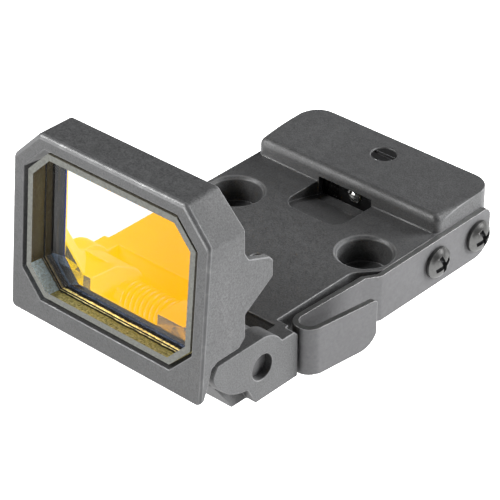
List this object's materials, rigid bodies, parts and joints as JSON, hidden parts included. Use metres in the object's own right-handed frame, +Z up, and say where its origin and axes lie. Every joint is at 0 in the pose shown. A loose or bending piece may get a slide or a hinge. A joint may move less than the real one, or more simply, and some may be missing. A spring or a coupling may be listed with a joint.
{
  "type": "red dot finder",
  "caption": "Folding open reflex sight: framed coated lens hinged to a flat screw-down base with a rear emitter block and a side spring latch.",
  "frame": {"origin": "on the underside, midway between the two mounting holes", "axes": "+Y towards the emitter block at the rear, +X towards the spring latch, +Z up from the mounting face; the lens stands at -Y"},
  "size_m": [0.0323, 0.0521, 0.027],
  "materials": {
    "anodised_black": "matt black anodised, very fine blasted grain",
    "spring_steel": "satin grey spring steel with bright sheared edges",
    "screw_steel": "bright nickel plate",
    "spring_wire": "bright drawn wire",
    "blackened_steel": "black oxide",
    "front_glass": "polished, ground edges",
    "coated_glass": "polished, amber reflecting coating",
    "window_glass": "polished",
    "black_cement": "black edge cement",
    "seal_rubber": "black rubber",
    "contact_brass": "gold-plated spring brass",
    "board_green": "green solder mask",
    "chip_black": "moulded black",
    "ribbon_amber": "amber film",
    "slider_grey": "plain turned metal",
    "led_ceramic": "cream ceramic with a clear die"
  },
  "bodies": {
    "base": {"base_body": "anodised_black", "bottom_cover": "anodised_black", "cover_gasket": "seal_rubber", "cover_screws": "screw_steel", "coin_cell": "screw_steel", "positive_contact": "contact_brass", "contact_screw": "screw_steel", "circuit_board": "board_green", "driver_chip": "chip_black", "flex_cable": "ribbon_amber", "elevation_spring": "spring_wire", "emitter_window": "window_glass", "hinge_pin": "blackened_steel", "torsion_spring": "spring_wire", "latch_plate": "spring_steel", "latch_screws": "screw_steel", "fold_switch": "contact_brass"},
    "housing": {"lens_housing": "anodised_black", "front_lens": "front_glass", "rear_lens": "coated_glass", "lens_bond": "black_cement", "spring_arm": "spring_wire"},
    "latch": {"latch_arm": "spring_steel"},
    "cap": {"battery_cap": "anodised_black", "cap_oring": "seal_rubber", "negative_contact": "contact_brass"},
    "elevation_adjuster": {"elevation_screw": "blackened_steel", "elevation_clip": "screw_steel"},
    "carriage": {"elevation_carriage": "slider_grey", "windage_spring": "spring_wire"},
    "windage_adjuster": {"windage_screw": "blackened_steel", "windage_clip": "screw_steel"},
    "emitter": {"emitter_holder": "slider_grey", "led_emitter": "led_ceramic"}
  },
  "joints": [
    {"name": "housing_fold", "type": "hinge", "parent": "base", "child": "housing", "pos_m": [0, -0.023, 0.0043], "axis": [-1, 0, 0], "range_deg": [0, 90], "stiffness_Nm_per_rad": 0.004, "springref_deg": -68.75},
    {"name": "latch_flex", "type": "hinge", "parent": "base", "child": "latch", "pos_m": [0.01445, -0.0025, 0.0031], "axis": [0, 0, -1], "range_deg": [0, 3.5], "stiffness_Nm_per_rad": 0.6},
    {"name": "cap_turn", "type": "hinge", "parent": "base", "child": "cap", "pos_m": [0, -0.0088, 0.0005], "axis": [0, 0, 1], "range_deg": [0, 45]},
    {"name": "elevation_turn", "type": "hinge", "parent": "base", "child": "elevation_adjuster", "pos_m": [0, 0.0156, 0.007], "axis": [0, 0, 1], "range_deg": [-360, 360]},
    {"name": "carriage_lift", "type": "slide", "parent": "base", "child": "carriage", "axis": [0, 0, 1], "range_m": [-0.0004, 0.0004]},
    {"name": "windage_turn", "type": "hinge", "parent": "carriage", "child": "windage_adjuster", "pos_m": [0, 0.0117, 0.0039], "axis": [1, 0, 0], "range_deg": [-360, 360]},
    {"name": "emitter_shift", "type": "slide", "parent": "carriage", "child": "emitter", "axis": [1, 0, 0], "range_m": [-0.0004, 0.0004]}
  ],
  "couplings": [
    {"joint": "carriage_lift", "follows": "elevation_turn", "m_per_rad": 0.000055704},
    {"joint": "emitter_shift", "follows": "windage_turn", "m_per_rad": 0.000055704}
  ]
}
